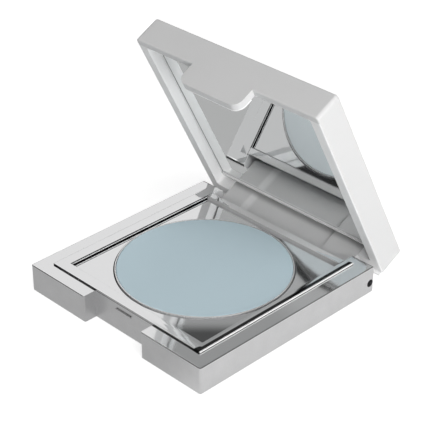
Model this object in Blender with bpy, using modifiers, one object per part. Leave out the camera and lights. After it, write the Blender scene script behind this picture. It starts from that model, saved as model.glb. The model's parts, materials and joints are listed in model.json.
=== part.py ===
"""A square mirror compact: a metallised base with one round pan of pressed powder under a hinged lid.

Metres, +Z up. The base stands on z = 0, its hinge is along X at the back (+Y), and the lid is
drawn shut and then turned on its hinge to the angle it rests at.
"""

import math

import bmesh
import bpy
from mathutils import Matrix, Vector

# Base
BASE_HALF = 0.0250  # half of the square side
BASE_TOP = 0.0063  # the ledge that the lid's rim closes on
BASE_CORNER = 0.0005
BASE_FOOT_ROUND = 0.0004
EDGE = 0.00012  # the small break on every sharp moulded edge
POCKET_HALF = 0.0211
POCKET_REAR = 0.0203
POCKET_FLOOR = 0.00475
POCKET_CORNER = 0.0005
WELL_HALF = 0.0197
WELL_FLOOR = 0.0012
WELL_CORNER = 0.0010
EAR_INNER = 0.0192  # where each hinge ear starts, measured from the middle
BAY_FRONT = 0.0219
BAY_FLOOR = 0.0008
EAR_ROUND = 0.0008

# Latch: a notch in the base's front wall, with a ridge that the lid's tongue snaps over
NOTCH_HALF = 0.00845
NOTCH_WALL = -0.02185
CATCH_SIZE = (0.0044, 0.0003, 0.0005)
CATCH_Z = 0.00495
TONGUE_HALF = 0.0082
TONGUE_TIP = 0.00165
TONGUE_INNER = -0.0226
TONGUE_ROUND = 0.0022

# Raised frame around the recess
FRAME_HALF = 0.02165
FRAME_FRONT = -0.0218
FRAME_REAR = 0.0222
FRAME_TOP = 0.0067
FRAME_SEAT = 0.00635
FRAME_SKIRT_FOOT = 0.00575
FRAME_CORNER = 0.0005
SKIRT_CORNER = 0.0004
OPENING_HALF = 0.0194
OPENING_FRONT = -0.0190
OPENING_CORNER = 0.0003
RETURN_TIP = 0.0128  # where each rear return of the frame runs out
RETURN_REAR = 0.0218
RETURN_LEFT = 0.15  # the share of its width and height that a return keeps at its tip

# Pan, powder and the plate they show through
PAN_Y = 0.0005
PAN_RADIUS = 0.0186
PAN_WALL = 0.0003
PAN_FOOT = 0.0014
PAN_TOP = 0.0060
PAN_FOOT_ROUND = 0.0005
PAN_INSIDE_ROUND = 0.0004
PAN_LIP = 0.00008  # the chamfer on the pan's lip and on the powder's rim
CAKE_GAP = 0.00006
CAKE_BELOW_LIP = 0.00004
PLATE_TOP = 0.00565
PLATE_THICK = 0.0008
PLATE_HOLE = 0.0188
PLATE_CORNER = 0.0004
GLUE_RADIUS = 0.0150

# Hinge
AXIS_Y = 0.02375
AXIS_Z = 0.00255
LID_ANGLE = math.radians(63)  # how far the lid rests open
BARREL_RADIUS = 0.0016
PIN_RADIUS = 0.00075
PIN_OUTER = 0.0242
PIN_LENGTH = 0.0117
EAR_BORE = 0.00085
BAR_BORE = 0.00084
BAR_HALF = 0.0189
BAR_FRONT = 0.0223
BAR_REAR = 0.0253
BAR_REAR_UPPER = 0.0241
RECESS_ENDS = (-0.0129, 0.0105)  # the shallow recess in the bar's face
RECESS_DEPTH = 0.0004
RECESS_SLOPE = 0.0016  # how far its left end slopes in; its right end is a step
GROOVE = (0.0002, 0.0003)  # width and depth of the parting groove along the step

# Lid, as it lies shut
LID_HALF = 0.02495
LID_FRONT = -0.02455
LID_REAR = 0.0255
LID_RIM = 0.00645
LID_TOP = 0.01295
LID_CORNER = 0.0008
LID_TOP_ROUND = 0.0005
LID_RIM_ROUND = 0.0003
LID_SIDE_WALL = 0.00245
LID_FRONT_WALL = 0.00165
LID_CEILING = 0.0115
LID_CAVITY_CORNER = 0.0006
LID_LIP = (0.00045, 0.00075)  # the rear lip's thickness and drop
SLOT_HALF = 0.01905
SLOT_REAR = 0.0242
INNER_FOOT = 0.0104
INNER_TOP = 0.0114
INNER_CORNER = 0.0005
RIB = (0.02045, 0.0210, 0.00875)  # front, rear and lower edge of the rib under the mirror
MIRROR_FACE = 0.0089
MIRROR_THICK = 0.0012
MIRROR_REAR = 0.02035
MIRROR_CORNER = 0.0004
TAPE_THICK = 0.0002
TAPE_INSET = 0.0020

GAP = 0.0001  # between pieces that sit together
PAST = 0.0010  # how far a cutter runs past the surface that it opens
ROUND_STEPS = 72


def new_collection(name):
    home = bpy.data.collections.new(name)
    bpy.context.scene.collection.children.link(home)
    return home


def finish(name, color, roughness, metallic=0.0):
    material = bpy.data.materials.new(name)
    material.use_nodes = True
    shader = material.node_tree.nodes["Principled BSDF"]
    shader.inputs["Base Color"].default_value = (*color, 1)
    shader.inputs["Roughness"].default_value = roughness
    shader.inputs["Metallic"].default_value = metallic
    return material


def add_object(name, bm, home, material=None):
    if bm.calc_volume(signed=True) < 0:
        bmesh.ops.reverse_faces(bm, faces=bm.faces)
    mesh = bpy.data.meshes.new(name)
    bm.to_mesh(mesh)
    bm.free()
    obj = bpy.data.objects.new(name, mesh)
    home.objects.link(obj)
    if material:
        mesh.materials.append(material)
    return obj


def edges_along(bm, axis, keep=lambda a, b: True):
    """The straight edges that run along an axis, of those that keep() takes by their two ends."""
    found = []
    for edge in bm.edges:
        a, b = (vert.co for vert in edge.verts)
        others = [abs(a[i] - b[i]) for i in range(3) if i != axis]
        if max(others) < 1e-7 and keep(a, b):
            found.append(edge)
    return found


def level_edges(bm, z):
    return [edge for edge in bm.edges if all(abs(vert.co.z - z) < 1e-7 for vert in edge.verts)]


def bevel(bm, edges, width, steps):
    bmesh.ops.bevel(
        bm,
        geom=edges,
        offset=width,
        offset_type="OFFSET",
        segments=steps,
        profile=0.5,
        affect="EDGES",
    )


def box_mesh(low, high):
    low, high = Vector(low), Vector(high)
    bm = bmesh.new()
    bmesh.ops.create_cube(bm, size=1)
    bmesh.ops.scale(bm, vec=high - low, verts=bm.verts)
    bmesh.ops.translate(bm, vec=(low + high) / 2, verts=bm.verts)
    return bm


def block(name, home, low, high, material=None, corner=0, foot=0, top=0, steps=3):
    """A box whose upright edges, foot edges and top edges are rounded by the given radii."""
    bm = box_mesh(low, high)
    if corner:
        bevel(bm, edges_along(bm, 2), corner, steps + 1)
    if foot:
        bevel(bm, level_edges(bm, low[2]), foot, steps)
    if top:
        bevel(bm, level_edges(bm, high[2]), top, steps if top > 2 * EDGE else 1)
    return add_object(name, bm, home, material)


def rod(name, home, radius, start, end, material=None, chamfer=0):
    """A round bar along X."""
    bm = bmesh.new()
    bmesh.ops.create_cone(
        bm, cap_ends=True, segments=32, radius1=radius, radius2=radius, depth=abs(end - start)
    )
    if chamfer:
        rims = [edge for edge in bm.edges if abs(edge.verts[0].co.z - edge.verts[1].co.z) < 1e-7]
        bevel(bm, rims, chamfer, 1)
    turn = Matrix.Rotation(math.pi / 2, 4, "Y")
    place = Matrix.Translation(((start + end) / 2, AXIS_Y, AXIS_Z))
    bm.transform(place @ turn)
    return add_object(name, bm, home, material)


def turned(name, home, profile, material):
    """A solid of revolution about the pan's centre, from (radius, height) points."""
    mesh = bpy.data.meshes.new(name)
    mesh.from_pydata([(r, 0, z) for r, z in profile], [(i, i + 1) for i in range(len(profile) - 1)], [])
    mesh.materials.append(material)
    obj = bpy.data.objects.new(name, mesh)
    obj.location.y = PAN_Y
    home.objects.link(obj)
    screw = obj.modifiers.new("Turn", "SCREW")
    screw.steps = screw.render_steps = ROUND_STEPS
    screw.use_merge_vertices = True
    screw.merge_threshold = 0.00001
    screw.use_smooth_shade = True
    return obj


def extruded(name, home, outline, start, end, material=None):
    """A flat outline of (y, z) points, extruded along X from start to end."""
    curve = bpy.data.curves.new(name, "CURVE")
    curve.dimensions = "2D"
    curve.fill_mode = "BOTH"
    curve.extrude = (end - start) / 2
    spline = curve.splines.new("POLY")
    spline.points.add(len(outline) - 1)
    for point, (y, z) in zip(spline.points, outline):
        point.co = (y, z, 0, 1)
    spline.use_cyclic_u = True
    drawn = bpy.data.objects.new(name + "_outline", curve)
    home.objects.link(drawn)
    graph = bpy.context.evaluated_depsgraph_get()
    mesh = bpy.data.meshes.new_from_object(drawn.evaluated_get(graph))
    bpy.data.objects.remove(drawn)
    bm = bmesh.new()
    bm.from_mesh(mesh)
    bmesh.ops.remove_doubles(bm, verts=bm.verts, dist=1e-6)
    # The curve's X, Y and Z become the world's Y, Z and X.
    bm.transform(Matrix(((0, 0, 1, (start + end) / 2), (1, 0, 0, 0), (0, 1, 0, 0), (0, 0, 0, 1))))
    return add_object(name, bm, home, material)


def arc(center, radius, start, end, steps):
    """(y, z) points on an arc, with angles in degrees from +Y towards +Z."""
    angles = [math.radians(start + (end - start) * i / steps) for i in range(steps + 1)]
    return [(center[0] + radius * math.cos(a), center[1] + radius * math.sin(a)) for a in angles]


def combine(obj, operation, others):
    for other in others:
        other.hide_render = True
        other.display_type = "WIRE"
        step = obj.modifiers.new(f"{operation.title()} {other.name}", "BOOLEAN")
        step.operation = operation
        step.object = other


def shade(obj):
    obj.data.shade_smooth()
    obj.data.set_sharp_from_angle(angle=math.radians(32))


def make_base_shell(parts, cutters, material):
    side = BASE_HALF
    shell = block(
        "base_shell", parts, (-side, -side, 0), (side, side, BASE_TOP), material,
        corner=BASE_CORNER, foot=BASE_FOOT_ROUND, top=EDGE,
    )
    ear_round = arc((side - EAR_ROUND, BASE_TOP - EAR_ROUND), EAR_ROUND, 0, 90, 5)
    outside = [(side - EAR_ROUND, BASE_TOP + PAST), (side + PAST, BASE_TOP + PAST)]
    past_side = [(side + PAST, BASE_TOP - EAR_ROUND)]
    cuts = [
        block(
            "pocket", cutters, (-POCKET_HALF, -POCKET_HALF, POCKET_FLOOR),
            (POCKET_HALF, POCKET_REAR, BASE_TOP + PAST), corner=POCKET_CORNER, steps=2,
        ),
        block(
            "well", cutters, (-WELL_HALF, -WELL_HALF, WELL_FLOOR),
            (WELL_HALF, WELL_HALF, POCKET_FLOOR + PAST), corner=WELL_CORNER, steps=2,
        ),
        block(
            "hinge_bay", cutters, (-EAR_INNER, BAY_FRONT, BAY_FLOOR),
            (EAR_INNER, side + PAST, BASE_TOP + PAST),
        ),
        block(
            "notch", cutters, (-NOTCH_HALF, -side - PAST, -PAST),
            (NOTCH_HALF, NOTCH_WALL, BASE_TOP + PAST),
        ),
        rod("ear_bore", cutters, EAR_BORE, -side - PAST, side + PAST),
        extruded("ear_round", cutters, ear_round + outside + past_side, -side - PAST, side + PAST),
    ]
    combine(shell, "DIFFERENCE", cuts)
    length, depth, height = CATCH_SIZE
    catch = block(
        "catch_ridge", cutters, (-length / 2, NOTCH_WALL - depth, CATCH_Z - height / 2),
        (length / 2, NOTCH_WALL + depth, CATCH_Z + height / 2), foot=EDGE, top=EDGE,
    )
    combine(shell, "UNION", [catch])
    return shell


def make_frame(parts, cutters, material):
    """The raised frame: a flange on the ledge, a skirt in the pocket and two returns that run out."""
    half = FRAME_HALF
    frame = block(
        "base_frame", parts, (-half, FRAME_FRONT, FRAME_SEAT), (half, FRAME_REAR, FRAME_TOP), material,
        corner=FRAME_CORNER, top=EDGE,
    )
    inner = POCKET_HALF - GAP
    skirt = block(
        "frame_skirt", cutters, (-inner, -inner, FRAME_SKIRT_FOOT),
        (inner, POCKET_REAR - GAP, FRAME_SEAT + GAP), corner=SKIRT_CORNER, steps=2,
    )
    combine(frame, "UNION", [skirt])
    opening = block(
        "frame_opening", cutters, (-OPENING_HALF, OPENING_FRONT, PLATE_TOP - PAST),
        (OPENING_HALF, FRAME_REAR + PAST, FRAME_TOP + PAST), corner=OPENING_CORNER, steps=1,
    )
    combine(frame, "DIFFERENCE", [opening])
    for side, word in ((-1, "left"), (1, "right")):
        front, foot, top = POCKET_REAR + GAP, FRAME_SEAT + EDGE / 2, FRAME_TOP - EDGE / 2
        bm = box_mesh((RETURN_TIP, front, foot), (OPENING_HALF + 3 * GAP, RETURN_REAR, top))
        for vert in bm.verts:
            if vert.co.x < OPENING_HALF:
                vert.co.y = front + (vert.co.y - front) * RETURN_LEFT
                vert.co.z = foot + (vert.co.z - foot) * RETURN_LEFT
            vert.co.x *= side
        combine(frame, "UNION", [add_object(f"frame_return_{word}", bm, cutters)])
    return frame


def make_plate(parts, cutters, material):
    inner = POCKET_HALF - 2 * GAP
    plate = block(
        "pan_plate", parts, (-inner, -inner, PLATE_TOP - PLATE_THICK),
        (inner, POCKET_REAR - GAP, PLATE_TOP), material, corner=PLATE_CORNER, steps=2,
    )
    bm = bmesh.new()
    bmesh.ops.create_cone(
        bm, cap_ends=True, segments=ROUND_STEPS, radius1=PLATE_HOLE, radius2=PLATE_HOLE,
        depth=2 * (PLATE_THICK + PAST),
    )
    bmesh.ops.translate(bm, vec=(0, PAN_Y, PLATE_TOP), verts=bm.verts)
    combine(plate, "DIFFERENCE", [add_object("plate_hole", bm, cutters)])
    return plate


def make_pan(parts, metal, powder, glue):
    inner = PAN_RADIUS - PAN_WALL
    inner_floor = PAN_FOOT + PAN_WALL
    turned(
        "powder_pan", parts,
        [
            (0, inner_floor), (inner - PAN_INSIDE_ROUND, inner_floor),
            (inner, inner_floor + PAN_INSIDE_ROUND), (inner, PAN_TOP - PAN_LIP),
            (inner + PAN_LIP, PAN_TOP), (PAN_RADIUS - PAN_LIP, PAN_TOP),
            (PAN_RADIUS, PAN_TOP - PAN_LIP), (PAN_RADIUS, PAN_FOOT + PAN_FOOT_ROUND),
            (PAN_RADIUS - PAN_FOOT_ROUND, PAN_FOOT), (0, PAN_FOOT),
        ],
        metal,
    )
    cake, cake_foot, cake_top = inner - CAKE_GAP, inner_floor + CAKE_GAP, PAN_TOP - CAKE_BELOW_LIP
    turned(
        "powder_cake", parts,
        [
            (0, cake_top), (cake - PAN_LIP, cake_top), (cake, cake_top - PAN_LIP),
            (cake, cake_foot + PAN_FOOT_ROUND), (cake - PAN_FOOT_ROUND, cake_foot), (0, cake_foot),
        ],
        powder,
    )
    glue_foot, glue_top = WELL_FLOOR + GAP / 2, PAN_FOOT - GAP / 2
    turned(
        "pan_adhesive", parts,
        [(0, glue_top), (GLUE_RADIUS, glue_top), (GLUE_RADIUS, glue_foot), (0, glue_foot)],
        glue,
    )


def make_pins(parts, material):
    for side, word in ((-1, "left"), (1, "right")):
        outer, inner = side * PIN_OUTER, side * (PIN_OUTER - PIN_LENGTH)
        low, high = min(outer, inner), max(outer, inner)
        shade(rod(f"hinge_pin_{word}", parts, PIN_RADIUS, low, high, material, EDGE))


def make_lid_shell(parts, cutters, material):
    half = LID_HALF
    shell = block(
        "lid_shell", parts, (-half, LID_FRONT, LID_RIM), (half, LID_REAR, LID_TOP), material,
        corner=LID_CORNER, foot=LID_RIM_ROUND, top=LID_TOP_ROUND,
    )
    tongue_mesh = box_mesh(
        (-TONGUE_HALF, LID_FRONT, TONGUE_TIP), (TONGUE_HALF, TONGUE_INNER, LID_RIM + 2 * PAST)
    )
    lower = edges_along(tongue_mesh, 1, lambda a, b: a.z < LID_RIM)
    bevel(tongue_mesh, lower, TONGUE_ROUND, 6)
    thick, drop = LID_LIP
    joined = [add_object("tongue", tongue_mesh, cutters)]
    for side, word in ((-1, "left"), (1, "right")):
        ends = sorted((side * SLOT_HALF, side * (half - LID_CORNER / 2)))
        joined.append(
            block(
                f"rear_lip_{word}", cutters, (ends[0], LID_REAR - thick, LID_RIM - drop),
                (ends[1], LID_REAR - GAP, LID_RIM + PAST),
            )
        )
    combine(shell, "UNION", joined)
    inner = half - LID_SIDE_WALL
    cavity = block(
        "lid_cavity", cutters, (-inner, LID_FRONT + LID_FRONT_WALL, LID_RIM - PAST),
        (inner, BAR_FRONT, LID_CEILING), corner=LID_CAVITY_CORNER, steps=2,
    )
    slot = block(
        "lid_hinge_slot", cutters, (-SLOT_HALF, BAR_FRONT - PAST, LID_RIM - PAST),
        (SLOT_HALF, SLOT_REAR, LID_CEILING),
    )
    combine(shell, "DIFFERENCE", [cavity, slot])
    return shell


def make_inner_frame(parts, cutters, material):
    """The lid's inner moulding: the plate behind the mirror, the rib under it and the hinge bar."""
    axis = (AXIS_Y, AXIS_Z)
    barrel = arc(axis, BARREL_RADIUS, 150, 360, 14)
    bar_front = barrel[0][0]
    outline = (
        [(bar_front, INNER_TOP)] + barrel
        + [(BAR_REAR, BASE_TOP), (BAR_REAR_UPPER, LID_RIM), (BAR_REAR_UPPER, INNER_TOP)]
    )
    bar = extruded("lid_inner_frame", parts, outline, -BAR_HALF, BAR_HALF, material)
    wide = LID_HALF - LID_SIDE_WALL - GAP
    front = LID_FRONT + LID_FRONT_WALL + GAP
    plate = block(
        "inner_plate", cutters, (-wide, front, INNER_FOOT), (wide, BAR_FRONT - GAP, INNER_TOP - GAP),
        corner=INNER_CORNER, steps=2,
    )
    bridge = block(
        "inner_bridge", cutters, (-BAR_HALF + PAST, BAR_FRONT - PAST, INNER_FOOT),
        (BAR_HALF - PAST, BAR_REAR_UPPER - PAST, INNER_TOP - 2 * GAP),
    )
    rib = block(
        "mirror_rib", cutters, (-wide + GAP, RIB[0], RIB[2]), (wide - GAP, RIB[1], INNER_FOOT + GAP),
    )
    combine(bar, "UNION", [bridge, plate, rib])
    left, right = RECESS_ENDS
    start, floor = AXIS_Y - BARREL_RADIUS - PAST, bar_front + RECESS_DEPTH
    low, high = AXIS_Z - BARREL_RADIUS - PAST, INNER_FOOT - GAP
    recess_mesh = box_mesh((left, start, low), (right, floor, high))
    for vert in recess_mesh.verts:
        if vert.co.x < 0:
            vert.co.x += RECESS_SLOPE * (vert.co.y - bar_front) / RECESS_DEPTH
    recess = add_object("bar_recess", recess_mesh, cutters)
    width, depth = GROOVE
    groove = block("bar_groove", cutters, (right - GAP, start, low), (right + width, floor + depth, high))
    bores = []
    for side, word in ((-1, "left"), (1, "right")):
        ends = sorted((side * (PIN_OUTER - PIN_LENGTH - PAST), side * (BAR_HALF + PAST)))
        bores.append(rod(f"bar_bore_{word}", cutters, BAR_BORE, *ends))
    combine(bar, "DIFFERENCE", [recess, groove] + bores)
    return bar


def make_mirror(parts, glass, glue):
    wide = LID_HALF - LID_SIDE_WALL - 2 * GAP
    front = LID_FRONT + LID_FRONT_WALL + 2 * GAP
    back = MIRROR_FACE + MIRROR_THICK
    mirror = block(
        "mirror", parts, (-wide, front, MIRROR_FACE), (wide, MIRROR_REAR, back), glass,
        corner=MIRROR_CORNER, foot=EDGE, steps=2,
    )
    tape = block(
        "mirror_adhesive", parts, (-wide + TAPE_INSET, front + TAPE_INSET, back + GAP / 2),
        (wide - TAPE_INSET, MIRROR_REAR - TAPE_INSET, back + GAP / 2 + TAPE_THICK), glue,
    )
    return [mirror, tape]


def hang_on_hinge(pieces, helpers, home):
    """Parents the lid's pieces and their helpers to an empty on the hinge axis, and opens it."""
    axis = bpy.data.objects.new("lid_hinge_axis", None)
    home.objects.link(axis)
    for obj in pieces + helpers:
        obj.parent = axis
        obj.matrix_parent_inverse = Matrix.Translation((0, -AXIS_Y, -AXIS_Z))
    axis.location = (0, AXIS_Y, AXIS_Z)
    axis.rotation_euler.x = -LID_ANGLE


for obj in list(bpy.data.objects):
    bpy.data.objects.remove(obj)

parts = new_collection("mirror_compact")
cutters = new_collection("cutters")
lid_cutters = new_collection("lid_cutters")

chrome = finish("Polished chrome plating", (0.78, 0.79, 0.80), 0.08, 1.0)
satin = finish("Satin metallised plastic", (0.72, 0.72, 0.73), 0.28, 1.0)
tinplate = finish("Pan metal", (0.80, 0.80, 0.81), 0.20, 1.0)
steel = finish("Pin steel", (0.45, 0.45, 0.46), 0.35, 1.0)
powder = finish("Pressed powder", (0.55, 0.69, 0.76), 0.95)
glue = finish("Adhesive tape", (0.85, 0.84, 0.80), 0.60)
white = finish("Soft white plastic", (0.82, 0.82, 0.82), 0.55)
inner_white = finish("Inner white plastic", (0.74, 0.74, 0.74), 0.50)
silvering = finish("Mirror glass", (0.86, 0.88, 0.89), 0.02, 1.0)

base_pieces = [
    make_base_shell(parts, cutters, satin),
    make_frame(parts, cutters, chrome),
    make_plate(parts, cutters, chrome),
]
make_pan(parts, tinplate, powder, glue)
make_pins(parts, steel)
lid_pieces = [
    make_lid_shell(parts, lid_cutters, white),
    make_inner_frame(parts, lid_cutters, inner_white),
] + make_mirror(parts, silvering, glue)
hang_on_hinge(lid_pieces, list(lid_cutters.objects), parts)
for piece in base_pieces + lid_pieces:
    shade(piece)
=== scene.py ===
import json
import math

import bmesh
import bpy
from mathutils import Matrix, Vector


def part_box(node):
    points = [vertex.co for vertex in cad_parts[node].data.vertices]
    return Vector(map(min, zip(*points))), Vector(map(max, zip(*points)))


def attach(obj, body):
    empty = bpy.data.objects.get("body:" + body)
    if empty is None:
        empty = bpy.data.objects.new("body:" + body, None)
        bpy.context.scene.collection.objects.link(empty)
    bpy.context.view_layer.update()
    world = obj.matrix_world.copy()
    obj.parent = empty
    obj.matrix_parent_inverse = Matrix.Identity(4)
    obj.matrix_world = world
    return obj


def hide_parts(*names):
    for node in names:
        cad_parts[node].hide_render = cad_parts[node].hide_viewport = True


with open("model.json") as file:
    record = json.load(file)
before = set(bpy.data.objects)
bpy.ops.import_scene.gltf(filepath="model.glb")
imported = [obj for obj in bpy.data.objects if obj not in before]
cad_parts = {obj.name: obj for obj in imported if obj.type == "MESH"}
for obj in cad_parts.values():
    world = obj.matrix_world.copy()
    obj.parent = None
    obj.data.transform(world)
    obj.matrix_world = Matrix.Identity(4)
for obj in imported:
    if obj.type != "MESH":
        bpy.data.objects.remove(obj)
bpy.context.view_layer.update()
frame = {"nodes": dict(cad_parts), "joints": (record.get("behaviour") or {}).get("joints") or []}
mm = 0.001
tiny = 1e-7

# Places that every piece is worked out from
baseLow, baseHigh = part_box("base_shell")
frameLow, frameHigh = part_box("base_frame")
plateLow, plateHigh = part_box("pan_plate")
panLow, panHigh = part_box("powder_pan")
cakeLow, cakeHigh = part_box("powder_cake")
hinge = frame["joints"][0]
hingePoint = Vector(hinge["pos_m"])
openAngle = -math.radians(hinge["range_deg"][0])  # from shut to the angle the lid rests at
panCentre = (panLow + panHigh) / 2
shutToOpen = (
    Matrix.Translation(hingePoint)
    @ Matrix.Rotation(openAngle, 4, Vector(hinge["axis"]))
    @ Matrix.Translation(-hingePoint)
)


def roundedBox(low, high, upright=0, foot=0, top=0, steps=4):
    # upright, foot and top are the radii of the upright edges, the lower rim and the upper rim
    low, high = Vector(low), Vector(high)
    bm = bmesh.new()
    bmesh.ops.create_cube(bm, size=1)
    bmesh.ops.scale(bm, vec=high - low, verts=bm.verts)
    bmesh.ops.translate(bm, vec=(low + high) / 2, verts=bm.verts)
    if upright:
        standing = [e for e in bm.edges if abs(e.verts[0].co.z - e.verts[1].co.z) > (high.z - low.z) / 2]
        roundEdges(bm, standing, upright, steps + 2)
    for level, radius in ((low.z, foot), (high.z, top)):
        if radius:
            rim = [e for e in bm.edges if all(abs(v.co.z - level) < tiny for v in e.verts)]
            roundEdges(bm, rim, radius, steps)
    return bm


def roundEdges(bm, edges, radius, steps):
    settings = {"offset_type": "OFFSET", "profile": 0.5, "affect": "EDGES"}
    bmesh.ops.bevel(bm, geom=edges, offset=radius, segments=steps, **settings)


def turnedProfile(points, centre, steps=128):
    # spins (radius, height) points about the upright line through centre
    bm = bmesh.new()
    rings = []
    for radius, height in points:
        if radius < tiny:
            rings.append([bm.verts.new((centre.x, centre.y, height))])
            continue
        circle = arcPoints(centre, radius, 0, 360, steps)[:-1]
        rings.append([bm.verts.new((x, y, height)) for x, y in circle])
    for inner, outer in zip(rings, rings[1:]):
        for i in range(steps):
            j = (i + 1) % steps
            corners = [ring[k % len(ring)] for ring, k in ((inner, i), (outer, i), (outer, j), (inner, j))]
            bm.faces.new(list(dict.fromkeys(corners)))
    outward(bm)
    return bm


def arcPoints(centre, radius, start, end, steps):
    # angles in degrees, from the first axis towards the second
    out = []
    for i in range(steps + 1):
        a = math.radians(start + (end - start) * i / steps)
        out.append((centre[0] + radius * math.cos(a), centre[1] + radius * math.sin(a)))
    return out


def extrudedOutline(points, start, end, upright=False):
    # a closed (y, z) outline carried along X, or an (x, y) one carried upward
    bm = bmesh.new()
    near = [bm.verts.new((a, b, start) if upright else (start, a, b)) for a, b in points]
    far = [bm.verts.new((a, b, end) if upright else (end, a, b)) for a, b in points]
    bm.faces.new(near)
    bm.faces.new(far)
    count = len(points)
    for i in range(count):
        j = (i + 1) % count
        bm.faces.new((near[i], near[j], far[j], far[i]))
    outward(bm)
    return bm


def rodAlongX(radius, start, end, y, z, steps=48):
    bm = bmesh.new()
    length = abs(end - start)
    bmesh.ops.create_cone(bm, cap_ends=True, segments=steps, radius1=radius, radius2=radius, depth=length)
    bm.transform(Matrix.Translation(((start + end) / 2, y, z)) @ Matrix.Rotation(math.pi / 2, 4, "Y"))
    return bm


def outward(bm):
    bm.normal_update()
    bmesh.ops.recalc_face_normals(bm, faces=bm.faces)
    if bm.calc_volume(signed=True) < 0:
        bmesh.ops.reverse_faces(bm, faces=bm.faces)


def asObject(name, bm):
    if bm.calc_volume(signed=True) < 0:
        bmesh.ops.reverse_faces(bm, faces=bm.faces)
    mesh = bpy.data.meshes.new(name)
    bm.to_mesh(mesh)
    bm.free()
    obj = bpy.data.objects.new(name, mesh)
    bpy.context.scene.collection.objects.link(obj)
    return obj


def settle(obj):
    # turns the modifiers into the mesh itself
    bpy.context.view_layer.update()
    graph = bpy.context.evaluated_depsgraph_get()
    mesh = bpy.data.meshes.new_from_object(obj.evaluated_get(graph))
    obj.modifiers.clear()
    obj.data = mesh


def carve(obj, operation, tools):
    helpers = [asObject("helper", bm) for bm in tools]
    for helper in helpers:
        step = obj.modifiers.new("Carve", "BOOLEAN")
        step.operation = operation
        step.solver = "EXACT"
        step.object = helper
    settle(obj)
    for helper in helpers:
        bpy.data.objects.remove(helper)


def breakEdges(obj, width, steps=2, angle=34):
    # rounds every edge that is still sharp, and keeps the flats flat in reflections
    bm = bmesh.new()
    bm.from_mesh(obj.data)
    bmesh.ops.remove_doubles(bm, verts=bm.verts, dist=0.002 * mm)
    bmesh.ops.dissolve_limit(bm, angle_limit=math.radians(0.5), verts=bm.verts, edges=bm.edges)
    bm.to_mesh(obj.data)
    bm.free()
    if width:
        bevel = obj.modifiers.new("Edges", "BEVEL")
        bevel.width = width
        bevel.segments = steps
        bevel.limit_method = "ANGLE"
        bevel.angle_limit = math.radians(angle)
        bevel.use_clamp_overlap = True
    obj.data.shade_smooth()
    settle(obj)
    obj.data.set_sharp_from_angle(angle=math.radians(angle + 8))
    normals = obj.modifiers.new("Normals", "WEIGHTED_NORMAL")
    normals.keep_sharp = True
    normals.weight = 100
    settle(obj)


def dress(obj, body, material, slotName, *nodes, place=None):
    obj.data.materials.clear()
    obj.data.materials.append(material)
    if place:
        obj.matrix_world = place
    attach(obj, body)
    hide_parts(*nodes)
    return obj


class Val:
    # a socket that takes part in Python sums
    def __init__(self, graph, socket):
        self.graph = graph
        self.socket = socket

    def sum(self, operation, first, second):
        return self.graph.node("ShaderNodeMath", {"operation": operation}, {0: first, 1: second})

    def __add__(self, other):
        return self.sum("ADD", self, other)

    def __radd__(self, other):
        return self.sum("ADD", other, self)

    def __sub__(self, other):
        return self.sum("SUBTRACT", self, other)

    def __rsub__(self, other):
        return self.sum("SUBTRACT", other, self)

    def __mul__(self, other):
        return self.sum("MULTIPLY", self, other)

    def __rmul__(self, other):
        return self.sum("MULTIPLY", other, self)

    def __truediv__(self, other):
        return self.sum("DIVIDE", self, other)

    def __or__(self, other):
        # the union of two masks
        return self + other - self * other

    def __abs__(self):
        return self.graph.node("ShaderNodeMath", {"operation": "ABSOLUTE"}, {0: self})

    def above(self, edge, spread):
        # 0 below the edge and 1 above it, with a soft step of that spread
        return self.graph.node(
            "ShaderNodeMapRange",
            {"interpolation_type": "SMOOTHSTEP"},
            {"Value": self, "From Min": edge - spread / 2, "From Max": edge + spread / 2},
        )

    def within(self, ends, spread):
        # 1 between the two ends and 0 outside them
        return self.above(ends[0], spread) * (1 - self.above(ends[1], spread))


class Graph:
    # one material's or world's nodes
    def __init__(self, owner):
        owner.use_nodes = True
        self.tree = owner.node_tree
        self.tree.nodes.clear()

    def node(self, kind, settings=None, inputs=None, output=0):
        made = self.tree.nodes.new(kind)
        for key, value in (settings or {}).items():
            setattr(made, key, value)
        for key, value in (inputs or {}).items():
            self.feed(made.inputs[key], value)
        return Val(self, made.outputs[output]) if made.outputs else None

    def feed(self, socket, value):
        if isinstance(value, Val):
            self.tree.links.new(value.socket, socket)
        elif hasattr(socket.default_value, "__len__") and not hasattr(value, "__len__"):
            socket.default_value = [value] * len(socket.default_value)
        elif hasattr(socket.default_value, "__len__") and len(value) < len(socket.default_value):
            socket.default_value = (*value, 1)
        else:
            socket.default_value = value

    def place(self):
        return self.node("ShaderNodeTexCoord", {}, {}, "Object")

    def axes(self, vector):
        return [self.node("ShaderNodeSeparateXYZ", {}, {0: vector}, axis) for axis in "XYZ"]

    def noise(self, at, scale, detail=2, roughness=0.5):
        inputs = {"Vector": at, "Scale": scale, "Detail": detail, "Roughness": roughness}
        return self.node("ShaderNodeTexNoise", {}, inputs)

    def blendColour(self, factor, first, second):
        return self.node("ShaderNodeMix", {"data_type": "RGBA"}, {0: factor, 6: first, 7: second}, 2)

    def scaleColour(self, colour, factor):
        return self.node("ShaderNodeVectorMath", {"operation": "SCALE"}, {0: colour, "Scale": factor})

    def bump(self, height, strength, distance):
        return self.node("ShaderNodeBump", {}, {"Height": height, "Strength": strength, "Distance": distance})

    def surface(self, inputs):
        shader = self.node("ShaderNodeBsdfPrincipled", {}, inputs)
        self.node("ShaderNodeOutputMaterial", {}, {"Surface": shader})


def newMaterial(name):
    material = bpy.data.materials.new(name)
    return material, Graph(material)


def times(colour, factor):
    return [part * factor for part in colour]


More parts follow.
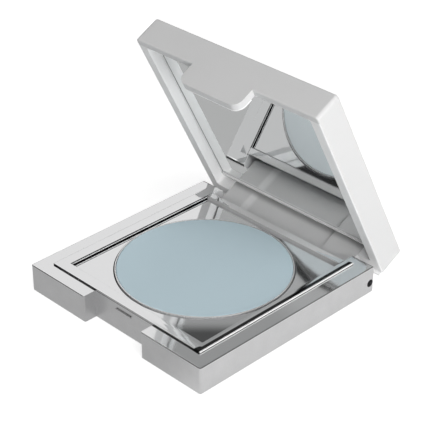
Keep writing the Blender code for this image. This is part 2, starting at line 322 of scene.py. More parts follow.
satinCase = {
    "wallColour": (0.80, 0.80, 0.805),
    "wallRoughness": 0.32,
    "roughnessSpread": 0.08,
    "mottle": 0.16,
    "topColour": (0.86, 0.86, 0.865),
    "topRoughness": 0.06,
    "topStart": 5.9 * mm,  # the bright top and the painted dark reflection lines along its rounded edges begin at this height
    "edgePaintedReflection": (0.10, 0.10, 0.10),
    "tilted": 0.3,  # a normal's upward part, where the rounded edge begins and where it ends
    "level": 0.95,
    "sillPaintedPale": (0.97, 0.97, 0.97),
    "sillRoughness": 0.24,
    "sillPaintedMatt": 0.8,
    "sillStart": 20.0 * mm,
    "sillHalf": 19.3 * mm,
    "sillSoft": 0.4 * mm,
    "grainSize": 0.25 * mm,
    "grainHeight": 0.0010 * mm,
    "cloudSize": 3.5 * mm,
    "rippleSize": 3.0 * mm,
    "rippleHeight": 0.0012 * mm,
}


def makeSatinCase():
    # metallised moulding: satin outside walls, a bright moulded top with painted dark reflection lines along
    # its rounded edges, and a sill in front of the hinge painted pale and matt as painted light
    v = satinCase
    material, g = newMaterial("satinMetallisedCase")
    at = g.place()
    x, y, z = g.axes(at)
    lift = g.axes(g.node("ShaderNodeTexCoord", {}, {}, "Normal"))[2]
    upper = z.above(v["topStart"], 0.1 * mm)
    upward = lift.above(v["tilted"], 0.3) * upper
    # painted reflection: the rounded top edges turn near black, standing in for the dark studio they reflect
    edge = lift.above(v["tilted"], 0.2) * (1 - lift.above(v["level"], 0.05)) * upper
    # painted light: the sill is made pale and mostly non-metallic so it shows as the light band it catches
    sill = y.above(v["sillStart"], v["sillSoft"]) * (1 - abs(x).above(v["sillHalf"], v["sillSoft"]))
    grain = g.noise(at, 1 / v["grainSize"], 3, 0.6)
    clouds = g.noise(at, 1 / v["cloudSize"], 4, 0.65)
    ripple = g.noise(at, 1 / v["rippleSize"], 1, 0.4)
    wall = g.scaleColour(v["wallColour"], 1 + (clouds + grain - 1) * v["mottle"])
    top = g.blendColour(sill, v["topColour"], v["sillPaintedPale"])
    rough = v["wallRoughness"] + (grain - 0.5) * v["roughnessSpread"]
    topRough = v["topRoughness"] + sill * (v["sillRoughness"] - v["topRoughness"])
    height = ripple * v["rippleHeight"] + grain * (1 - upward) * v["grainHeight"]
    g.surface({
        "Base Color": g.blendColour(edge, g.blendColour(upward, wall, top), v["edgePaintedReflection"]),
        "Metallic": 1 - sill * v["sillPaintedMatt"],
        "Roughness": rough + (topRough - rough) * upward,
        "Normal": g.bump(height / mm, 1.0, mm),
    })
    return material


polishedTrim = {
    "colour": (0.87, 0.87, 0.875),
    "roughness": 0.045,
    "hazeSize": 2.0 * mm,
    "haze": 0.03,
    "rippleSize": 5.0 * mm,
    "rippleHeight": 0.0020 * mm,
    "paintedShadeColour": (0.05, 0.05, 0.05),
    "foot": (5.70 * mm, 5.98 * mm),  # the side walls of the recess get painted shadow at their foot and a painted dark reflection line at their brink
    "brink": (6.19 * mm, 6.405 * mm),
    "paleColour": (0.97, 0.97, 0.97),
    "pale": (5.99 * mm, 6.18 * mm),  # and a painted highlight in between
    "paintedHighlightMatt": 0.7,
    "sideStart": 19.0 * mm,
    "riser": 21.38 * mm,  # the right rail's outer face gets a painted highlight too, and the slope inside it a painted dark reflection
    "slope": (6.44 * mm, 6.73 * mm),
    "slopeFrom": 20.0 * mm,
    "slopePaintedReflection": (0.02, 0.02, 0.02),
    "cornerStart": 30.0 * mm,  # painted shade darkens the plate into its front right corner
    "cornerSoft": 6.0 * mm,
    "cornerPaintedShade": (0.20, 0.20, 0.20),
    "soft": 0.02 * mm,
}


def makePolishedTrim():
    v = polishedTrim
    material, g = newMaterial("polishedMetallisedTrim")
    at = g.place()
    x, y, z = g.axes(at)
    soft = v["soft"]
    ripple = g.noise(at, 1 / v["rippleSize"], 1, 0.4)
    haze = g.noise(at, 1 / v["hazeSize"], 3, 0.6)
    beside = abs(x).above(v["sideStart"], 0.2 * mm)
    # painted shadow at the foot of the recess walls, and a painted dark reflection line at their brink
    dark = z.within(v["foot"], soft) + z.within(v["brink"], soft) * beside
    # painted highlight: the riser and the middle of the recess walls are pale and nearly matt
    riser = x.above(v["riser"], soft) * z.above(v["brink"][1], soft)
    pale = z.within(v["pale"], soft) * beside | riser
    # painted reflection: the slope inside the right rail is near black
    slope = z.within(v["slope"], 2 * soft) * x.above(v["slopeFrom"], 0.2 * mm)
    # painted shade in the plate's front right corner
    corner = (x - y).above(v["cornerStart"], v["cornerSoft"]) * (1 - z.above(v["foot"][0], 0.1 * mm))
    shine = g.blendColour(haze, times(v["colour"], 0.98), v["colour"])
    shine = g.blendColour(corner, shine, v["cornerPaintedShade"])
    shine = g.blendColour(slope, shine, v["slopePaintedReflection"])
    shine = g.blendColour(pale, shine, v["paleColour"])
    g.surface({
        "Base Color": g.blendColour(dark, shine, v["paintedShadeColour"]),
        "Metallic": 1 - pale * v["paintedHighlightMatt"],
        "Roughness": v["roughness"] + haze * v["haze"],
        "Normal": g.bump(ripple, 1.0, v["rippleHeight"]),
    })
    return material


panMetal = {
    "colour": (0.92, 0.92, 0.925),
    "roughness": 0.24,
    "roughnessSpread": 0.06,
    "metallic": 0.55,
    "ringSize": 0.12 * mm,
}


def makePanMetal():
    v = panMetal
    material, g = newMaterial("brightPanMetal")
    fine = g.noise(g.place(), 1 / v["ringSize"], 2, 0.5)
    g.surface({
        "Base Color": g.blendColour(fine, times(v["colour"], 0.95), v["colour"]),
        "Metallic": v["metallic"],
        "Roughness": v["roughness"] + fine * v["roughnessSpread"],
    })
    return material


powder = {
    "colour": (0.65, 0.81, 0.88),
    "paleColour": (0.68, 0.84, 0.91),
    "paintedReflectionColour": (0.90, 0.97, 1.0),  # a painted paler colour that only reflections in the bright pieces show
    "speckSize": 0.09 * mm,
    "driftSize": 6.0 * mm,
    "roughness": 0.93,
    "roughnessSpread": 0.1,
    "grainSize": 0.05 * mm,
    "grainHeight": 0.010 * mm,
}


def makePowder():
    v = powder
    material, g = newMaterial("pressedBluePowder")
    at = g.place()
    specks = g.noise(at, 1 / v["speckSize"], 4, 0.7)
    drift = g.noise(at, 1 / v["driftSize"], 2, 0.5)
    grain = g.noise(at, 1 / v["grainSize"], 2, 0.6)
    seen = g.blendColour(specks * 0.7 + drift * 0.3, v["colour"], v["paleColour"])
    # painted reflection: the mirror and the metal show the powder paler than it is
    mirrored = g.node("ShaderNodeLightPath", {}, {}, "Is Glossy Ray")
    g.surface({
        "Base Color": g.blendColour(mirrored, seen, v["paintedReflectionColour"]),
        "Roughness": v["roughness"] + (grain - 0.5) * v["roughnessSpread"],
        "Specular IOR Level": 0.15,
        "Sheen Weight": 0.10,
        "Sheen Roughness": 0.5,
        "Normal": g.bump(grain, 0.25, v["grainHeight"]),
    })
    return material


lidPlastic = {
    "colour": (0.735, 0.735, 0.735),
    "toneLow": 0.97,
    "toneSpread": 0.06,
    "insidePaintedLight": (0.95, 0.95, 0.95),
    "insideHalf": 22.62 * mm,  # the inside walls and the rim are painted lighter than the outside, as painted light
    "insideFront": -22.95 * mm,
    "insideTop": 11.6 * mm,
    "rimTop": 6.6 * mm,
    "soft": 0.04 * mm,
    "roughness": 0.55,
    "roughnessSpread": 0.12,
    "cloudSize": 7.0 * mm,
    "grainSize": 0.16 * mm,
    "grainHeight": 0.002 * mm,
}


def makeLidPlastic():
    v = lidPlastic
    material, g = newMaterial("softWhiteLid")
    at = g.place()
    x, y, z = g.axes(at)
    soft = v["soft"]
    fine = g.noise(at, 1 / v["grainSize"], 3, 0.6)
    clouds = g.noise(at, 1 / v["cloudSize"], 3, 0.5)
    tone = v["toneLow"] + (clouds * 0.6 + fine * 0.4) * v["toneSpread"]
    # painted light: the inside walls and the rim get a lighter colour than the outside of the same plastic
    walls = (1 - abs(x).above(v["insideHalf"], soft)) * (1 - z.above(v["insideTop"], soft))
    rim = 1 - z.above(v["rimTop"], soft)
    inside = (walls | rim) * y.above(v["insideFront"], soft)
    g.surface({
        "Base Color": g.scaleColour(g.blendColour(inside, v["colour"], v["insidePaintedLight"]), tone),
        "Roughness": v["roughness"] + (fine - 0.5) * v["roughnessSpread"],
        "Specular IOR Level": 0.15,
        "Normal": g.bump(fine, 1.0, v["grainHeight"]),
    })
    return material


innerPlastic = {
    "colour": (0.82, 0.82, 0.82),
    "toneSpread": 0.06,
    "shadeColour": (0.46, 0.46, 0.46),
    "shadeStart": 8.2 * mm,
    "shadeSoft": 1.6 * mm,
    "lipPaintedHighlight": (0.96, 0.96, 0.96),
    "lipHeights": (8.0 * mm, 8.9 * mm),
    "lipRear": 21.15 * mm,
    "bandPaintedHighlight": (1.0, 1.0, 1.0),
    "band": (-13.2 * mm, -11.5 * mm),  # a painted highlight along the seam where the recess in the bar's face begins
    "bandSoft": 1.0 * mm,
    "bandStrength": 0.9,
    "roughness": 0.36,
    "roughnessSpread": 0.12,
    "cloudSize": 6.0 * mm,
    "grainSize": 0.2 * mm,
    "grainHeight": 0.004 * mm,
}


def makeInnerPlastic():
    # painted shade darkens the bar's face towards the groove under the glass; the lip along the glass gets a
    # painted highlight
    v = innerPlastic
    material, g = newMaterial("satinInnerMoulding")
    at = g.place()
    x, y, z = g.axes(at)
    fine = g.noise(at, 1 / v["grainSize"], 3, 0.6)
    clouds = g.noise(at, 1 / v["cloudSize"], 3, 0.55)
    # painted shade on the bar's face near the glass
    shade = z.above(v["shadeStart"], v["shadeSoft"])
    # painted highlight on the seam at the left end of the recess
    band = x.within(v["band"], v["bandSoft"]) * v["bandStrength"]
    # painted highlight on the lip along the glass
    lipFoot, lipTop = v["lipHeights"]
    lip = z.above(lipFoot, 0.1 * mm) * (1 - z.above(lipTop, 0.05 * mm))
    lip = lip * (1 - y.above(v["lipRear"], 0.05 * mm))
    darker, lighter = (times(v["colour"], 1 + sign * v["toneSpread"]) for sign in (-1, 1))
    body = g.blendColour(clouds * 0.5 + fine * 0.5, darker, lighter)
    paintedShadeAndSeam = g.blendColour(shade, g.blendColour(band, body, v["bandPaintedHighlight"]), v["shadeColour"])
    g.surface({
        "Base Color": g.blendColour(lip, paintedShadeAndSeam, v["lipPaintedHighlight"]),
        "Roughness": v["roughness"] + (fine - 0.5) * v["roughnessSpread"],
        "Specular IOR Level": 0.35,
        "Normal": g.bump(fine, 0.2, v["grainHeight"]),
    })
    return material


silvering = {
    "colour": (0.87, 0.885, 0.885),
    "roughness": 0.012,
    "filmSize": 3.0 * mm,
    "filmRoughness": 0.02,
    "groundColour": (0.93, 0.93, 0.93),
    "groundFrom": 20.12 * mm,  # the rear edge is ground
    "groundRoughness": 0.4,
    "paintedEdgeShadowColour": (0.04, 0.04, 0.04),
    "paintedEdgeShadowFrom": 22.0 * mm,  # a painted shadow line darkens the glass along its two side edges
    "coat": 0.3,
}


def makeSilvering():
    v = silvering
    material, g = newMaterial("silveredGlass")
    at = g.place()
    x, y = g.axes(at)[:2]
    film = g.noise(at, 1 / v["filmSize"], 3, 0.6)
    ground = y.above(v["groundFrom"], 0.06 * mm)
    # painted shadow line along the glass's two side edges
    paintedEdgeShadow = abs(x).above(v["paintedEdgeShadowFrom"], 0.1 * mm)
    silver = g.blendColour(film, times(v["colour"], 0.985), v["colour"])
    silver = g.blendColour(paintedEdgeShadow, silver, v["paintedEdgeShadowColour"])
    g.surface({
        "Base Color": g.blendColour(ground, silver, v["groundColour"]),
        "Metallic": 1 - ground,
        "Roughness": v["roughness"] + film * v["filmRoughness"] + ground * v["groundRoughness"],
        "Coat Weight": v["coat"] * (1 - ground),
        "Coat Roughness": 0.02,
    })
    return material


def makePlain(name, colour, roughness, metallic, size):
    material, g = newMaterial(name)
    fine = g.noise(g.place(), 1 / size, 3, 0.6)
    g.surface({
        "Base Color": g.blendColour(fine, times(colour, 0.9), colour),
        "Metallic": metallic,
        "Roughness": roughness + (fine - 0.5) * 0.15,
    })
    return material


caseFinish = makeSatinCase()
trimFinish = makePolishedTrim()
panFinish = makePanMetal()
powderFinish = makePowder()
lidFinish = makeLidPlastic()
innerFinish = makeInnerPlastic()
mirrorFinish = makeSilvering()
# the pins' near-black colour is painted shade, so the bore holes they sit in look dark
pinFinish = makePlain("pinSteel", (0.07, 0.07, 0.072), 0.30, 1.0, 0.3 * mm)
tapeFinish = makePlain("adhesiveSheet", (0.82, 0.81, 0.77), 0.6, 0.0, 0.5 * mm)
print("materials made")


caseShape = {
    "cornerRadius": 0.5 * mm,
    "footRadius": 0.4 * mm,
    "rimRadius": 0.18 * mm,
    "crispEdge": 0.10 * mm,
    "notchRound": 0.45 * mm,
    "pocketHalf": 21.1 * mm,
    "pocketRear": 20.3 * mm,
    "pocketFloor": 4.75 * mm,
    "pocketCorner": 0.5 * mm,
    "wellHalf": 19.7 * mm,
    "wellFloor": 1.2 * mm,
    "wellCorner": 1.0 * mm,
    "earInner": 19.2 * mm,
    "bayFront": 21.9 * mm,
    "bayFloor": 0.8 * mm,
    "earRound": 0.8 * mm,
    "notchHalf": 8.45 * mm,
    "notchDepth": 3.15 * mm,
    "boreRadius": 0.85 * mm,
    "catchHalf": 2.2 * mm,
    "catchProud": 0.28 * mm,
    "catchHeights": (4.7 * mm, 5.2 * mm),
    "catchRound": 0.12 * mm,
}


def makeCase():
    v = caseShape
    low, high = baseLow, baseHigh
    past = 1 * mm
    obj = asObject("caseShell", roundedBox(low, high, v["cornerRadius"], v["footRadius"], v["rimRadius"], 5))
    earRear, earTop = high.y - v["earRound"], high.z - v["earRound"]
    ear = arcPoints((earRear, earTop), v["earRound"], 0, 90, 10)
    ear += [(earRear, high.z + past), (high.y + past, high.z + past), (high.y + past, earTop)]
    well, pocket, side, flare = v["wellHalf"], v["pocketHalf"], v["notchHalf"], v["notchRound"]
    notchWall = low.y + v["notchDepth"]
    notch = [(-side - flare, low.y - past)]
    notch += arcPoints((-side - flare, low.y + flare), flare, -90, 0, 8)
    notch += [(-side, notchWall), (side, notchWall)]
    notch += arcPoints((side + flare, low.y + flare), flare, 180, 270, 8)
    notch += [(side + flare, low.y - past)]
    pocketTop = (pocket, v["pocketRear"], high.z + past)
    wellTop = (well, well, v["pocketFloor"] + past)
    bayTop = (v["earInner"], high.y + past, high.z + past)
    carve(obj, "DIFFERENCE", [
        roundedBox((-pocket, -pocket, v["pocketFloor"]), pocketTop, v["pocketCorner"]),
        roundedBox((-well, -well, v["wellFloor"]), wellTop, v["wellCorner"]),
        roundedBox((-v["earInner"], v["bayFront"], v["bayFloor"]), bayTop),
        extrudedOutline(notch, low.z - past, high.z + past, upright=True),
        rodAlongX(v["boreRadius"], low.x - past, high.x + past, hingePoint.y, hingePoint.z),
        extrudedOutline(ear, low.x - past, high.x + past),
    ])
    foot, head = v["catchHeights"]
    half, proud, soft = v["catchHalf"], v["catchProud"], v["catchRound"]
    catchLow, catchHigh = (-half, notchWall - proud, foot), (half, notchWall + proud, head)
    carve(obj, "UNION", [roundedBox(catchLow, catchHigh, 0, soft, soft, 3)])
    breakEdges(obj, v["crispEdge"], 3)
    return dress(obj, "base", caseFinish, "metallised_plastic", "base_shell")


makeCase()
print("case made")


trimShape = {
    "flangeFoot": 6.35 * mm,
    "skirtHalf": 21.0 * mm,
    "skirtRear": 20.2 * mm,
    "openingHalf": 19.4 * mm,
    "openingFront": -19.0 * mm,
    "outerRound": 0.14 * mm,
    "innerRound": 0.12 * mm,
    "shelf": 6.42 * mm,  # the top steps down a slope to this height along the recess
    "shelfWide": 0.85 * mm,
    "slopeTop": 1.95 * mm,
    "edge": 0.05 * mm,
    "returnTip": 12.8 * mm,
    "returnRear": 21.8 * mm,
    "returnOverlap": 0.02 * mm,
    "runOut": 0.15,  # how much of its height and width is left at the tip of a return
}


def makeTrim():
    # one profile carried round the recess in a U, mitred at its two front corners
    v = trimShape
    low, high = frameLow, frameHigh
    wide = high.x - v["openingHalf"]
    frontRatio = (v["openingFront"] - low.y) / wide
    skirt = v["skirtHalf"] - v["openingHalf"]
    inner, outer = v["innerRound"], v["outerRound"]
    profile = [(0, low.z)] + arcPoints((inner, v["shelf"] - inner), inner, 180, 90, 5)
    profile += [(v["shelfWide"], v["shelf"]), (v["slopeTop"], high.z)]
    profile += arcPoints((wide - outer, high.z - outer), outer, 90, 0, 5)
    profile += [(wide, v["flangeFoot"]), (skirt, v["flangeFoot"]), (skirt, low.z)]
    bm = bmesh.new()
    rings = []
    for side, isFront in ((-1, False), (-1, True), (1, True), (1, False)):
        ring = []
        for d, z in profile:
            y = v["openingFront"] - d * frontRatio if isFront else high.y
            ring.append(bm.verts.new((side * (v["openingHalf"] + d), y, z)))
        rings.append(ring)
    for near, far in zip(rings, rings[1:]):
        for i in range(len(profile)):
            j = (i + 1) % len(profile)
            bm.faces.new((near[i], near[j], far[j], far[i]))
    bm.faces.new(rings[0])
    bm.faces.new(rings[-1])
    outward(bm)
    obj = asObject("recessTrim", bm)
    breakEdges(obj, v["edge"], 2)
    return dress(obj, "base", trimFinish, "plated_plastic", "base_frame")


def makeReturns():
    # the rear ends of the trim run out in a taper along the sill
    v = trimShape
    front = v["skirtRear"] + 0.2 * mm
    for side, word in ((-1, "Left"), (1, "Right")):
        corner = (v["openingHalf"] - v["returnOverlap"], v["returnRear"], v["shelf"])
        bm = roundedBox((v["returnTip"], front, v["flangeFoot"] - 0.1 * mm), corner)
        span = v["openingHalf"] - v["returnTip"]
        long = [e for e in bm.edges if abs(e.verts[0].co.x - e.verts[1].co.x) > span / 2]
        bmesh.ops.subdivide_edges(bm, edges=long, cuts=12)
        for vert in bm.verts:
            t = (vert.co.x - v["returnTip"]) / span
            part = v["runOut"] + (1 - v["runOut"]) * t * t * (3 - 2 * t)
            vert.co.y = front + (vert.co.y - front) * part
            vert.co.z = v["flangeFoot"] + (vert.co.z - v["flangeFoot"]) * part
            vert.co.x *= side
        obj = asObject("trimReturn" + word, bm)
        breakEdges(obj, v["edge"], 2)
        obj.data.materials.append(trimFinish)
        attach(obj, "base")


plateShape = {"holeRadius": 18.8 * mm, "corner": 0.4 * mm, "edge": 0.08 * mm}


def makePlate():
    v = plateShape
    radius, below, over = v["holeRadius"], plateLow.z - 1 * mm, plateHigh.z + 1 * mm
    obj = asObject("recessPlate", roundedBox(plateLow, plateHigh, v["corner"]))
    hole = [(0, below), (radius, below), (radius, over), (0, over)]
    carve(obj, "DIFFERENCE", [turnedProfile(hole, panCentre, 160)])
    breakEdges(obj, v["edge"], 2)
    return dress(obj, "base", trimFinish, "plated_plastic", "pan_plate")


panShape = {"wall": 0.3 * mm, "footRadius": 0.5 * mm, "innerFootRadius": 0.4 * mm}


def makePan():
    v = panShape
    outer = (panHigh.x - panLow.x) / 2
    inner = outer - v["wall"]
    lip = v["wall"] / 2
    floor = panLow.z + v["wall"]
    bend, foot = v["innerFootRadius"], v["footRadius"]
    profile = [(0, floor)] + arcPoints((inner - bend, floor + bend), bend, -90, 0, 6)
    profile += [(inner, panHigh.z - lip)]
    profile += arcPoints((inner + lip, panHigh.z - lip), lip, 180, 0, 10)[1:]
    profile += arcPoints((outer - foot, panLow.z + foot), foot, 0, -90, 6)
    profile += [(0, panLow.z)]
    obj = asObject("powderPan", turnedProfile(profile, panCentre, 160))
    breakEdges(obj, 0, angle=30)
    return dress(obj, "base", panFinish, "pan_metal", "powder_pan")


cakeShape = {"edgeRadius": 0.16 * mm, "dome": 0.03 * mm, "rings": 16, "footRadius": 0.5 * mm}


def makeCake():
    # pressed powder: almost flat, its rim a little rounded by the press
    v = cakeShape
    radius = (cakeHigh.x - cakeLow.x) / 2
    edge, foot, dome = v["edgeRadius"], v["footRadius"], v["dome"]
    flat = radius - edge
    top = cakeHigh.z - dome
    steps = [i / v["rings"] for i in range(v["rings"])]
    profile = [(flat * t, top + dome * (1 - t ** 4)) for t in steps]
    profile += arcPoints((flat, top - edge), edge, 90, 0, 6)
    profile += arcPoints((radius - foot, cakeLow.z + foot), foot, 0, -90, 4)
    profile += [(0, cakeLow.z)]
    obj = asObject("powderCake", turnedProfile(profile, panCentre, 160))
    breakEdges(obj, 0, angle=40)
    return dress(obj, "base", powderFinish, "pressed_powder", "powder_cake")


makeTrim()
makeReturns()
makePlate()
makePan()
makeCake()
print("trim, plate, pan and powder made")


# The lid and what is in it are drawn shut, and then opened

lidShape = {
    "half": 24.95 * mm,
    "front": -24.55 * mm,
    "rear": 25.5 * mm,
    "rim": 6.45 * mm,
    "top": 12.95 * mm,
    "corner": 0.8 * mm,
    "topRound": 0.5 * mm,
    "rimRound": 0.3 * mm,
    "sideWall": 2.45 * mm,
    "frontWall": 1.65 * mm,
    "ceiling": 11.5 * mm,
    "cavityCorner": 0.6 * mm,
    "slotHalf": 19.05 * mm,
    "slotRear": 24.2 * mm,
    "barFront": 22.3 * mm,
    "lipThick": 0.45 * mm,
    "lipDrop": 0.75 * mm,
    "tongueHalf": 8.2 * mm,
    "tongueTip": 1.65 * mm,
    "tongueInner": -22.6 * mm,
    "tongueRound": 2.2 * mm,
    "edge": 0.15 * mm,
}


def makeLid():
    v = lidShape
    past = 1 * mm
    half, front, rear, rim = v["half"], v["front"], v["rear"], v["rim"]
    low, high = (-half, front, rim), (half, rear, v["top"])
    obj = asObject("lidShell", roundedBox(low, high, v["corner"], v["rimRound"], v["topRound"], 5))
    tongueHalf, slotHalf = v["tongueHalf"], v["slotHalf"]
    tongue = roundedBox((-tongueHalf, front, v["tongueTip"]), (tongueHalf, v["tongueInner"], rim + 2 * past))
    lower = [e for e in tongue.edges if all(end.co.z < rim for end in e.verts)]
    lower = [e for e in lower if abs(e.verts[0].co.y - e.verts[1].co.y) > 0.5 * mm]
    roundEdges(tongue, lower, v["tongueRound"], 12)
    joined = [tongue]
    lipFront, lipRear, lipFoot = rear - v["lipThick"], rear - 0.1 * mm, rim - v["lipDrop"]
    for side in (-1, 1):
        near, far = sorted((side * slotHalf, side * (half - v["corner"] / 2)))
        joined.append(roundedBox((near, lipFront, lipFoot), (far, lipRear, rim + past)))
    carve(obj, "UNION", joined)
    inner = half - v["sideWall"]
    cavityLow, cavityHigh = (-inner, front + v["frontWall"], rim - past), (inner, v["barFront"], v["ceiling"])
    cavity = roundedBox(cavityLow, cavityHigh, v["cavityCorner"])
    slot = roundedBox((-slotHalf, v["barFront"] - past, rim - past), (slotHalf, v["slotRear"], v["ceiling"]))
    carve(obj, "DIFFERENCE", [cavity, slot])
    breakEdges(obj, v["edge"], 3)
    return dress(obj, "lid", lidFinish, "white_plastic", "lid_shell", place=shutToOpen)


barShape = {
    "half": 18.9 * mm,
    "barrelRadius": 1.6 * mm,
    "rear": 25.3 * mm,
    "rearUpper": 24.1 * mm,
    "top": 11.4 * mm,
    "foot": 10.4 * mm,
    "ribFront": 20.45 * mm,
    "ribRear": 21.0 * mm,
    "ribFoot": 8.5 * mm,
    "recessLeft": -12.9 * mm,
    "recessSlope": 1.6 * mm,
    "recessRight": 10.5 * mm,
    "recessDeep": 0.4 * mm,
    "grooveWide": 0.2 * mm,
    "grooveDeep": 0.3 * mm,
    "boreRadius": 0.84 * mm,
    "boreStart": 11.5 * mm,
    "plateCorner": 0.5 * mm,
    "gap": 0.1 * mm,
    "edge": 0.12 * mm,
}


def makeBar():
    v, lid = barShape, lidShape
    past = 1 * mm
    gap, half, rear, foot = v["gap"], v["half"], v["rearUpper"], v["foot"]
    barrel = arcPoints((hingePoint.y, hingePoint.z), v["barrelRadius"], 150, 360, 28)
    outline = [(barrel[0][0], v["top"])] + barrel
    outline += [(v["rear"], baseHigh.z), (rear, lid["rim"]), (rear, v["top"])]
    obj = asObject("lidInnerMoulding", extrudedOutline(outline, -half, half))
    wide = lid["half"] - lid["sideWall"] - gap
    front = lid["front"] + lid["frontWall"] + gap
    bridgeHigh = (half - past, rear - past, v["top"] - 2 * gap)
    plateTop = (wide, lid["barFront"] - gap, v["top"] - gap)
    ribTop = (wide - gap, v["ribRear"], foot + gap)
    carve(obj, "UNION", [
        roundedBox((-half + past, lid["barFront"] - past, foot), bridgeHigh),
        roundedBox((-wide, front, foot), plateTop, v["plateCorner"]),
        roundedBox((-wide + gap, v["ribFront"], v["ribFoot"]), ribTop),
    ])
    face = barrel[0][0]
    start = hingePoint.y - v["barrelRadius"] - past
    floor = face + v["recessDeep"]
    lean = v["recessSlope"] / v["recessDeep"]
    left, right = v["recessLeft"], v["recessRight"]
    recess = [(left - lean * (face - start), start), (right, start), (right, floor)]
    recess += [(left + v["recessSlope"], floor)]
    grooveEnd, grooveFloor = right + v["grooveWide"], floor + v["grooveDeep"]
    groove = [(right - gap, start), (grooveEnd, start), (grooveEnd, grooveFloor), (right - gap, grooveFloor)]
    below = hingePoint.z - v["barrelRadius"] - past
    tools = [extrudedOutline(points, below, foot - gap, upright=True) for points in (recess, groove)]
    for side in (-1, 1):
        near, far = sorted((side * v["boreStart"], side * (half + past)))
        tools.append(rodAlongX(v["boreRadius"], near, far, hingePoint.y, hingePoint.z))
    carve(obj, "DIFFERENCE", tools)
    breakEdges(obj, v["edge"], 3)
    return dress(obj, "lid", innerFinish, "inner_plastic", "lid_inner_frame", place=shutToOpen)


mirrorShape = {
    "face": 8.9 * mm,
    "thick": 1.2 * mm,
    "rear": 20.35 * mm,
    "corner": 0.4 * mm,
    "gap": 0.2 * mm,
    "polishedEdge": 0.1 * mm,
}


def makeMirror():
    v, lid = mirrorShape, lidShape
    wide = lid["half"] - lid["sideWall"] - v["gap"]
    front = lid["front"] + lid["frontWall"] + v["gap"]
    glass = roundedBox((-wide, front, v["face"]), (wide, v["rear"], v["face"] + v["thick"]), v["corner"])
    obj = asObject("mirrorGlass", glass)
    breakEdges(obj, v["polishedEdge"], 3)
    return dress(obj, "lid", mirrorFinish, "silvered_glass", "mirror", place=shutToOpen)


# The pins and the adhesive sheets keep their CAD shapes
keptNodes = {
    "hinge_pin_left": pinFinish,
    "hinge_pin_right": pinFinish,
    "pan_adhesive": tapeFinish,
    "mirror_adhesive": tapeFinish,
}

makeLid()
makeBar()
makeMirror()
for name, finish in keptNodes.items():
    node = frame["nodes"][name]
    node.data.materials.clear()
    node.data.materials.append(finish)
print("lid, hinge bar and mirror made")


camera = {
    "azimuth": 45.4,
    "elevation": 30.94,
    "distance": 0.300,
    "aim": (0.0035, 0.0, 0.0207),
    "lens": 126.0,
    "shift": (0.0004, -0.0088),
    "clip": (0.01, 20),
}


def makeCamera():
    v = camera
    a, e = math.radians(v["azimuth"]), math.radians(v["elevation"])
    back = Vector((math.sin(a) * math.cos(e), -math.cos(a) * math.cos(e), math.sin(e)))
    data = bpy.data.cameras.new("camera")
    obj = bpy.data.objects.new("camera", data)
    bpy.context.scene.collection.objects.link(obj)
    obj.location = Vector(v["aim"]) + back * v["distance"]
    obj.rotation_euler = (-back).to_track_quat("-Z", "Y").to_euler()
    data.lens = v["lens"]
    data.shift_x, data.shift_y = v["shift"]
    data.clip_start, data.clip_end = v["clip"]
    bpy.context.scene.camera = obj


studio = {
    "floorSize": 4,
    "floorShade": 0.80,  # what lights the matt pieces from below
    "floorSeen": 0.62,  # what the camera sees of the floor, which glows too
    "glow": 0.72,
    "mirrored": 0.47,  # what the metal and the glass see of the floor, and how much more of it to the right
    "mirroredRight": 0.27,
    "rightFrom": 20 * mm,
    "mirroredFade": 0.20,
    "fadeFrom": 130 * mm,
    "ambient": 0.20,
    "backdrop": 1.0,
    "darkest": 0.03,
    "behind": 0.80,  # the brightness of the zones that the metal and the glass reflect
    "leftHigh": 0.62,
    "rightLow": 1.5,
    "lights": {  # place and size in metres, power in watts
        "sideLight": ((0.72, -0.30, 0.20), (0.6, 0.35), 4.25),
        "backLight": ((-0.20, 0.75, 0.30), (0.6, 0.4), 1.9),
        "topLight": ((0.42, -0.20, 0.62), (0.5, 0.4), 2.1),
    },
}


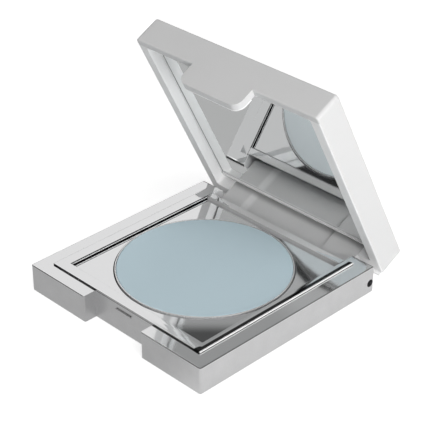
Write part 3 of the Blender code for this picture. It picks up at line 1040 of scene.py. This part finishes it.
def makeFloor():
    v = studio
    bm = bmesh.new()
    bmesh.ops.create_grid(bm, x_segments=1, y_segments=1, size=v["floorSize"])
    floor = asObject("floor", bm)
    material, g = newMaterial("paleFloor")
    at = g.place()
    direct = g.node("ShaderNodeLightPath", {}, {}, "Is Camera Ray")
    glossy = g.node("ShaderNodeLightPath", {}, {}, "Is Glossy Ray")
    right = g.axes(at)[0].above(v["rightFrom"], 20 * mm)
    distance = g.node("ShaderNodeVectorMath", {"operation": "LENGTH"}, {0: at}, "Value")
    away = distance.above(v["fadeFrom"], 60 * mm)
    reflected = (v["mirrored"] + right * v["mirroredRight"]) * (1 - away * v["mirroredFade"])
    matt = g.node("ShaderNodeBsdfDiffuse", {}, {"Color": (v["floorShade"],) * 3})
    bright = g.node("ShaderNodeEmission", {}, {"Strength": reflected})
    plain = g.node("ShaderNodeMixShader", {}, {0: glossy, 1: matt, 2: bright})
    seen = g.node("ShaderNodeBsdfDiffuse", {}, {"Color": (v["floorSeen"],) * 3})
    glow = g.node("ShaderNodeEmission", {}, {"Color": (1, 1, 1), "Strength": v["glow"]})
    pale = g.node("ShaderNodeAddShader", {}, {0: seen, 1: glow})
    mixed = g.node("ShaderNodeMixShader", {}, {0: direct, 1: plain, 2: pale})
    g.node("ShaderNodeOutputMaterial", {}, {"Surface": mixed})
    floor.data.materials.append(material)


def makeWorld():
    # soft even light for the matt pieces, and a studio of light and dark for the bright ones to reflect
    v = studio
    world = bpy.data.worlds.new("studio")
    bpy.context.scene.world = world
    g = Graph(world)
    path = g.node("ShaderNodeLightPath", {}, {}, "Is Camera Ray")
    glossy = g.node("ShaderNodeLightPath", {}, {}, "Is Glossy Ray")
    at = g.node("ShaderNodeTexCoord", {}, {}, "Generated")
    x, y, z = g.axes(at)
    behind = (y * 0.75 - x * 0.65).above(0.5, 0.2) * (1 - z.above(0.78, 0.08))
    behind = behind * (z.above(0.38, 0.10) | y.above(0.68, 0.06)) * v["behind"]
    leftHigh = (z - x * 0.5).above(0.85, 0.4) * (1 - y.above(0.35, 0.25)) * y.above(-0.3, 0.2) * v["leftHigh"]
    rightLow = (x + y * 0.6).above(0.75, 0.3) * (1 - z.above(0.57, 0.08)) * v["rightLow"]
    reflected = v["darkest"] + behind + leftHigh + rightLow
    lit = reflected * glossy + (1 - glossy) * v["ambient"]
    strength = lit * (1 - path) + path * v["backdrop"]
    background = g.node("ShaderNodeBackground", {}, {"Color": (1, 1, 1), "Strength": strength})
    g.node("ShaderNodeOutputWorld", {}, {"Surface": background})


def makeSoftbox(name, place, size, power):
    data = bpy.data.lights.new(name, "AREA")
    data.shape = "RECTANGLE"
    data.size, data.size_y = size
    data.energy = power
    obj = bpy.data.objects.new(name, data)
    bpy.context.scene.collection.objects.link(obj)
    obj.location = place
    obj.rotation_euler = (Vector((0, 0, 0.02)) - Vector(place)).to_track_quat("-Z", "Y").to_euler()
    obj.visible_glossy = False  # the bright pieces see the world's zones instead


makeCamera()
makeFloor()
makeWorld()
for name, (place, size, power) in studio["lights"].items():
    makeSoftbox(name, place, size, power)
bpy.context.scene.view_settings.view_transform = "Standard"
print("studio made")
